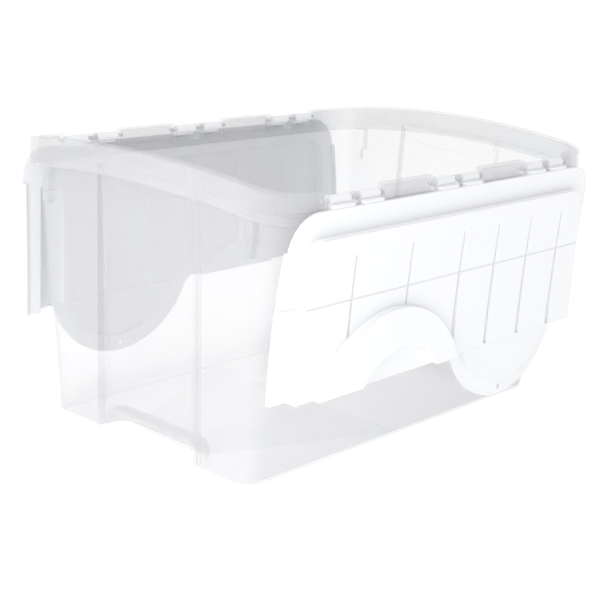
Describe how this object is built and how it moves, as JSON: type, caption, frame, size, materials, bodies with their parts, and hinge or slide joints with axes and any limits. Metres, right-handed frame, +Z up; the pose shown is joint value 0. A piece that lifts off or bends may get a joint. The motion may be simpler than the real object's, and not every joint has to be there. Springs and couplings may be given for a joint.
{
  "type": "stackable storage bin",
  "caption": "Clear nesting storage tote with crowned ends and two white hinged lid halves that interleave when closed.",
  "frame": {"origin": "centre of the base, on the plane the tote stands on", "axes": "+X along the tote towards one grip end, +Y towards the rear hinge side, +Z up; a half turn about Z leaves the tote unchanged"},
  "size_m": [0.55, 0.4234, 0.316],
  "materials": {
    "clear_tub": "clear, slightly cool, semi-gloss",
    "white_lid": "white, semi-gloss, fine moulded grain",
    "hinge_pin": "natural, smooth"
  },
  "bodies": {
    "tub": {"tub": "clear_tub", "hinge_pin_front_1": "hinge_pin", "hinge_pin_front_2": "hinge_pin", "hinge_pin_front_3": "hinge_pin", "hinge_pin_rear_1": "hinge_pin", "hinge_pin_rear_2": "hinge_pin", "hinge_pin_rear_3": "hinge_pin"},
    "lid_front": {"lid_front": "white_lid"},
    "lid_rear": {"lid_rear": "white_lid"}
  },
  "joints": [
    {"name": "lid_front_hinge", "type": "hinge", "parent": "tub", "child": "lid_front", "pos_m": [0, -0.192, 0.2925], "axis": [-1, 0, 0], "range_deg": [0, 270]},
    {"name": "lid_rear_hinge", "type": "hinge", "parent": "tub", "child": "lid_rear", "pos_m": [0, 0.192, 0.2925], "axis": [1, 0, 0], "range_deg": [0, 270]}
  ]
}
